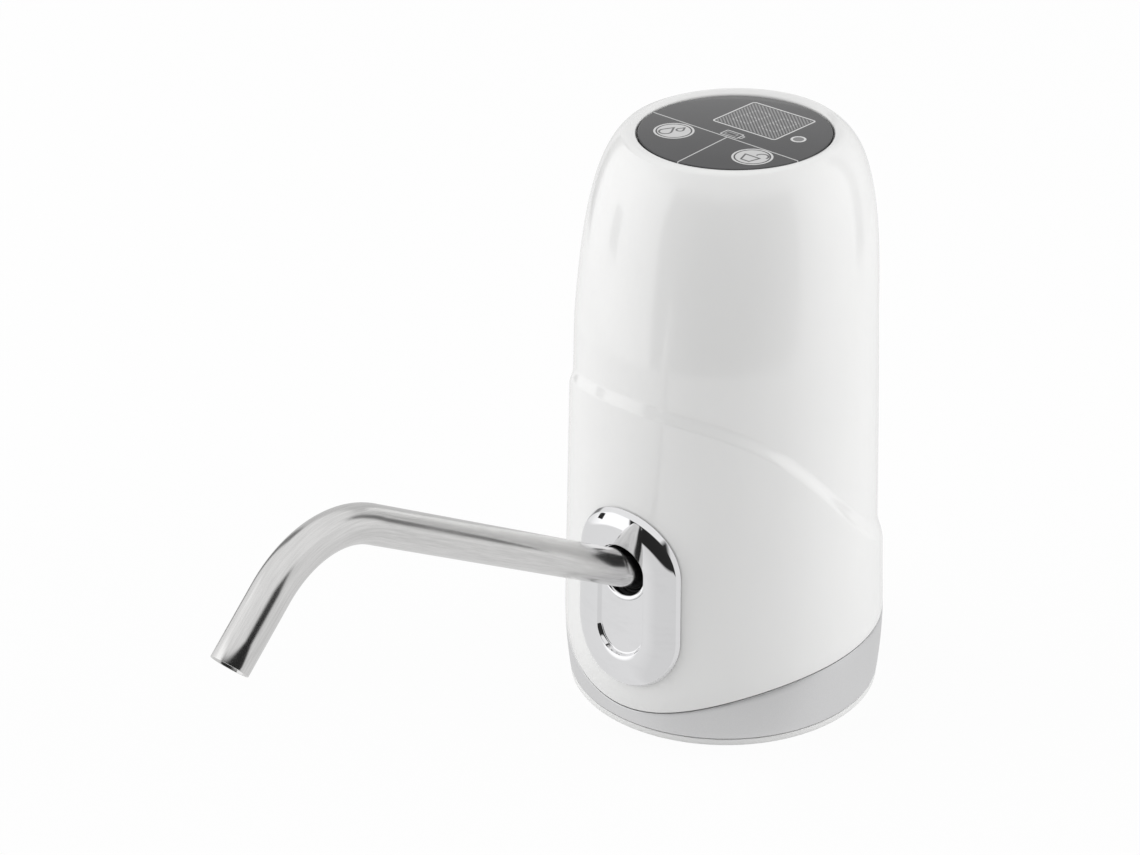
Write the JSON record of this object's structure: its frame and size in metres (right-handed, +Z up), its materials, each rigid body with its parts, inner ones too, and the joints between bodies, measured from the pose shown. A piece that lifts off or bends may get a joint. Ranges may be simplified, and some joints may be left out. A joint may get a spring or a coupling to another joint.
{
  "type": "bottled water pump",
  "caption": "Rechargeable electric pump that stands on a water bottle's neck and pours from a bent steel spout; touch panel on top.",
  "frame": {"origin": "middle of the bottle socket's ceiling, the flat face that the bottle's mouth stops against", "axes": "+Z up along the body's axis, the spout points to -Y, +X to the right of the spout as seen from behind it"},
  "size_m": [0.0808, 0.2139, 0.1475],
  "materials": {
    "white_plastic": "white gloss moulded plastic",
    "silver_plating": "satin silver plated plastic",
    "chrome": "mirror chrome plating on plastic",
    "stainless_steel": "polished stainless steel tube",
    "smoked_panel": "smoked acrylic, printed on its back",
    "black_rubber": "black rubber seal",
    "clear_silicone": "milky food-grade silicone",
    "natural_plastic": "natural acetal",
    "dark_plastic": "black moulded plastic",
    "brass": "sintered bronze bush",
    "copper": "enamelled copper",
    "silicon_steel": "laminated electrical steel",
    "ferrite": "sintered ferrite magnet",
    "circuit_board": "green solder mask on glass fibre",
    "cell_wrap": "shrink sleeve over a steel cell",
    "display_face": "numeric display in a dark case",
    "lamp_lens": "clear lamp lens",
    "red_lead": "red insulated lead"
  },
  "bodies": {
    "housing": {"base_ring": "silver_plating", "battery_cell": "cell_wrap", "battery_cradle": "dark_plastic", "battery_lead_negative": "dark_plastic", "battery_lead_positive": "red_lead", "board_screw_1": "stainless_steel", "board_screw_2": "stainless_steel", "bottle_grip_ring": "clear_silicone", "buzzer": "dark_plastic", "charge_board": "circuit_board", "charge_lead": "dark_plastic", "control_board": "circuit_board", "control_chip": "dark_plastic", "control_panel": "smoked_panel", "deck_screw_1": "stainless_steel", "deck_screw_2": "stainless_steel", "deck_screw_3": "stainless_steel", "display_frame": "dark_plastic", "display_module": "display_face", "foot_base": "white_plastic", "housing_shell": "white_plastic", "idler_pin": "stainless_steel", "inlet_hose": "clear_silicone", "inlet_nipple": "natural_plastic", "motor_bush_front": "brass", "motor_bush_rear": "brass", "motor_can": "stainless_steel", "motor_end_cap": "dark_plastic", "motor_lead_left": "red_lead", "motor_lead_right": "dark_plastic", "motor_magnet_left": "ferrite", "motor_magnet_right": "ferrite", "motor_screw_1": "stainless_steel", "motor_screw_2": "stainless_steel", "motor_terminal_left": "copper", "motor_terminal_right": "copper", "outlet_hose": "clear_silicone", "pump_body": "dark_plastic", "pump_cover": "dark_plastic", "pump_deck": "natural_plastic", "pump_gasket": "black_rubber", "pump_screw_1": "stainless_steel", "pump_screw_2": "stainless_steel", "shaft_seal": "black_rubber", "spout_collar": "chrome", "spout_escutcheon": "chrome", "spout_socket": "natural_plastic", "status_led": "lamp_lens", "touch_spring_left": "stainless_steel", "touch_spring_right": "stainless_steel", "usb_socket": "stainless_steel"},
    "spout_seals": {"spout_o_ring_outer": "black_rubber", "spout_o_ring_inner": "black_rubber"},
    "spout": {"spout_tube": "stainless_steel"},
    "rotor": {"motor_shaft": "stainless_steel", "motor_armature": "silicon_steel", "motor_winding": "copper", "motor_commutator": "copper", "drive_gear": "natural_plastic"},
    "idler": {"idler_gear": "natural_plastic"}
  },
  "joints": [
    {"name": "spout_pull", "type": "slide", "parent": "housing", "child": "spout_seals", "axis": [0, -0.8652, 0.5015], "range_m": [0, 0.025]},
    {"name": "spout_swivel", "type": "hinge", "parent": "spout_seals", "child": "spout", "pos_m": [0, -0.03956, 0.0256], "axis": [0, -0.8652, 0.5015], "continuous": true},
    {"name": "motor_spin", "type": "hinge", "parent": "housing", "child": "rotor", "pos_m": [-0.00799, 0.01199, 0.0523], "axis": [0, 0, 1], "continuous": true},
    {"name": "idler_spin", "type": "hinge", "parent": "housing", "child": "idler", "pos_m": [0.00231, 0.01199, 0.036], "axis": [0, 0, 1], "continuous": true}
  ],
  "couplings": [
    {"joint": "idler_spin", "follows": "motor_spin", "ratio": -1}
  ]
}
